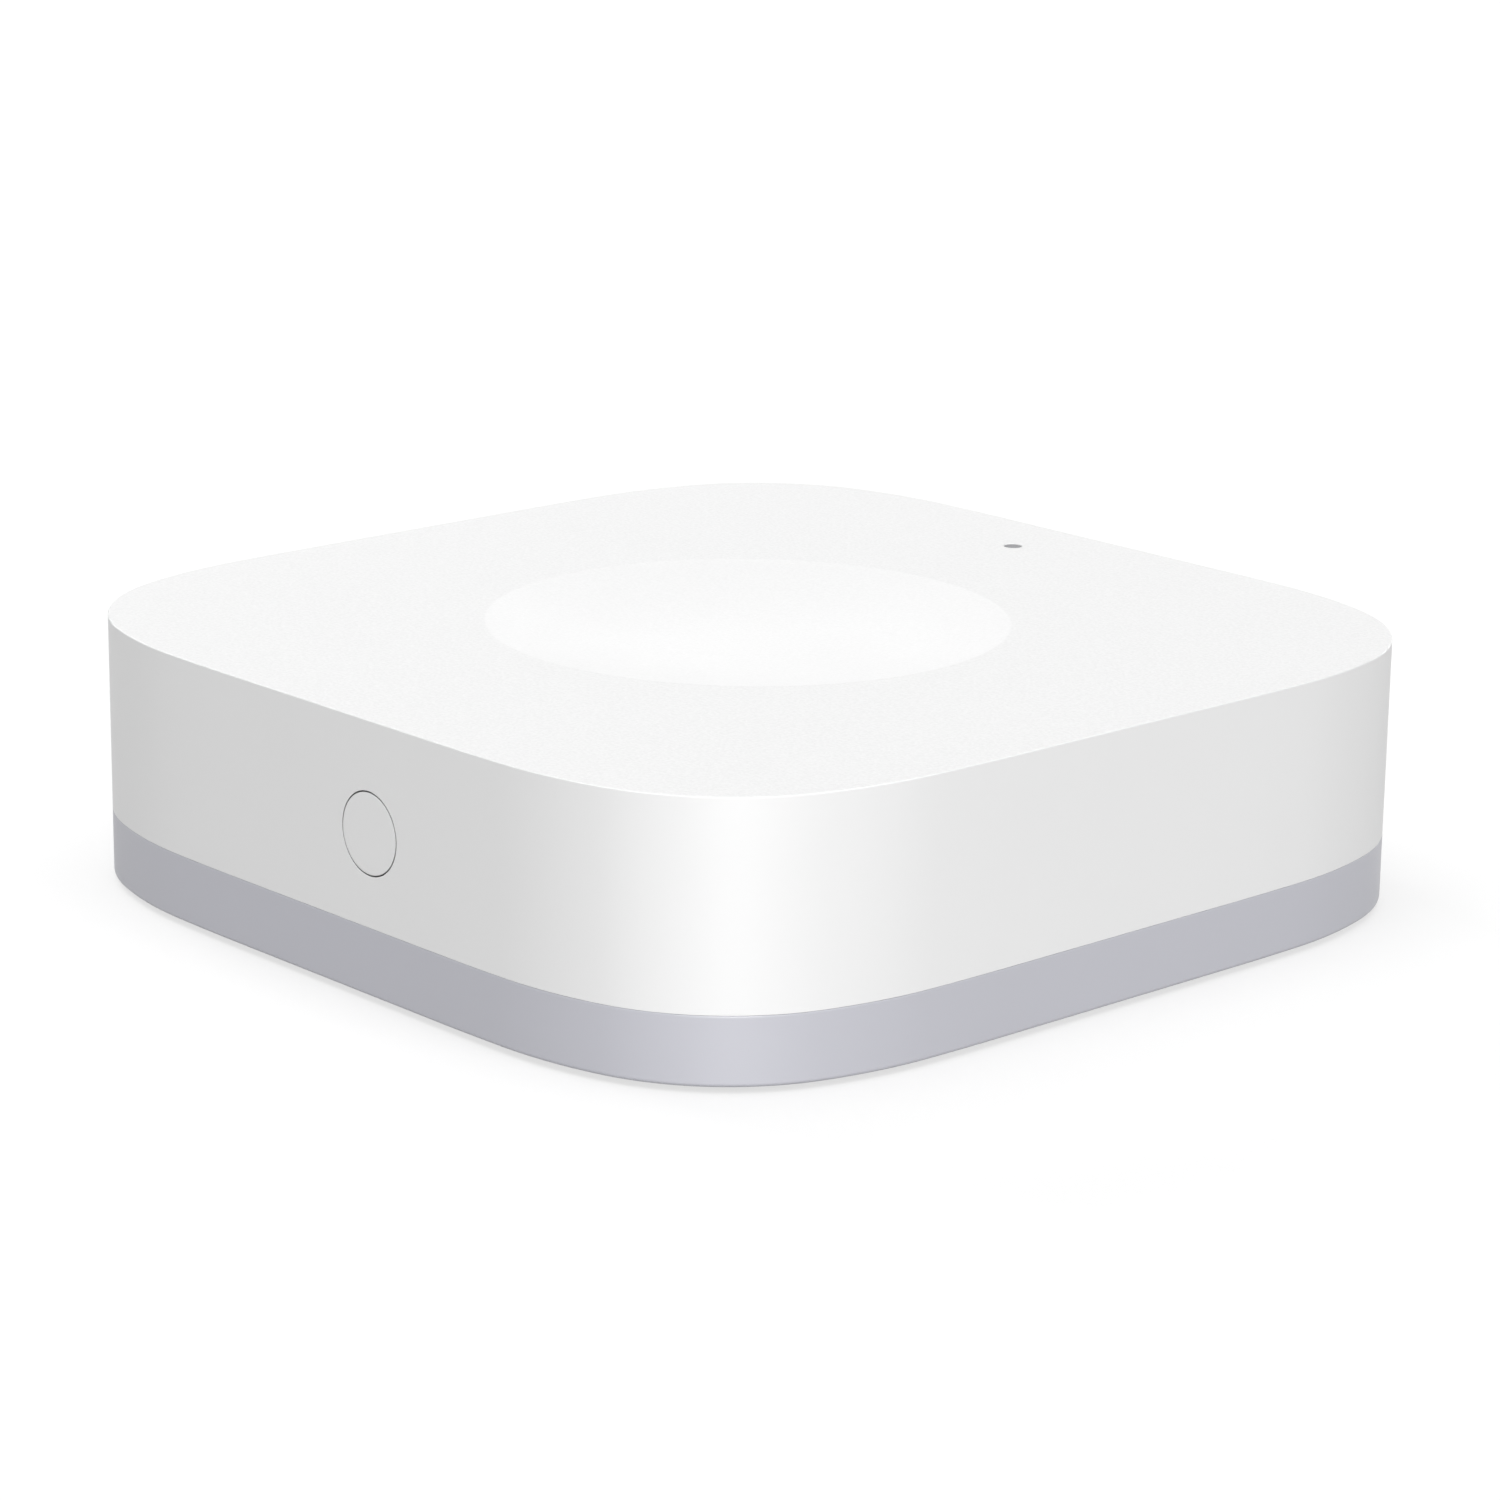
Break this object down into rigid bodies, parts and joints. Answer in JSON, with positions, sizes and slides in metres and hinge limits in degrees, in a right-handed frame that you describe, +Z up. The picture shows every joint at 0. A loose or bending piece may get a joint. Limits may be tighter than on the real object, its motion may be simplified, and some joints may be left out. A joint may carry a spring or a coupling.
{
  "type": "smart home hub",
  "caption": "Low square smart home hub with squircle corners, dished white top, grey-blue base band, round push button in the front, status light and a recessed USB-C power inlet at the rear.",
  "frame": {"origin": "on the surface the hub stands on, under the middle of its outline", "axes": "+Z up through the dished top; the wall with the round button faces -Y and the power inlet is in the +Y wall; +X is to the right seen from the front"},
  "size_m": [0.08, 0.08, 0.0207],
  "materials": {
    "cover_white": "fine matte texture on top, smooth satin sides",
    "base_grey_blue": "satin",
    "button_white": "satin",
    "lens_smoke": "frosted grey light pipe",
    "foot_rubber": "matte",
    "label_film": "blank matte polyester label",
    "steel": "plated sheet and screws",
    "board_green": "solder-masked fibreglass",
    "contact_gold": "gold plated",
    "chip_black": "moulded epoxy",
    "insulator_black": "moulded nylon",
    "aluminium": "extruded and anodised",
    "ferrite": "pressed ferrite",
    "ceramic_tan": "fired ceramic chips",
    "thermal_grey": "soft gap pad",
    "film_black": "polyester film",
    "led_white": "moulded silicone over phosphor"
  },
  "bodies": {
    "housing": {"top_cover": "cover_white", "base_shell": "base_grey_blue", "switch_body": "insulator_black", "switch_dome": "steel", "switch_frame": "steel", "light_pipe": "lens_smoke", "status_led": "led_white", "main_board": "board_green", "usb_c_shell": "steel", "usb_c_tongue": "insulator_black", "usb_c_contacts": "contact_gold", "radio_module": "board_green", "radio_shield": "steel", "zigbee_antenna": "steel", "wifi_antenna": "steel", "processor": "chip_black", "memory_chips": "chip_black", "thermal_pad": "thermal_grey", "heat_spreader": "aluminium", "power_inductor": "ferrite", "regulator_chips": "chip_black", "capacitors": "aluminium", "small_passives": "ceramic_tan", "crystal": "steel", "board_screws": "steel", "case_screws": "steel", "rubber_feet": "foot_rubber", "rating_label": "label_film", "ballast_plate": "steel", "insulation_sheet": "film_black", "push_nuts": "steel"},
    "button": {"side_button": "button_white"},
    "plunger": {"switch_plunger": "insulator_black"}
  },
  "joints": [
    {"name": "button_press", "type": "slide", "parent": "housing", "child": "button", "axis": [0, 1, 0], "range_m": [0, 0.0004], "stiffness_N_per_m": 400, "springref_m": -0.002},
    {"name": "plunger_slide", "type": "slide", "parent": "housing", "child": "plunger", "axis": [0, 1, 0], "range_m": [0, 0.0004], "deforming": ["switch_dome"]}
  ],
  "couplings": [
    {"joint": "plunger_slide", "follows": "button_press", "ratio": 1}
  ]
}
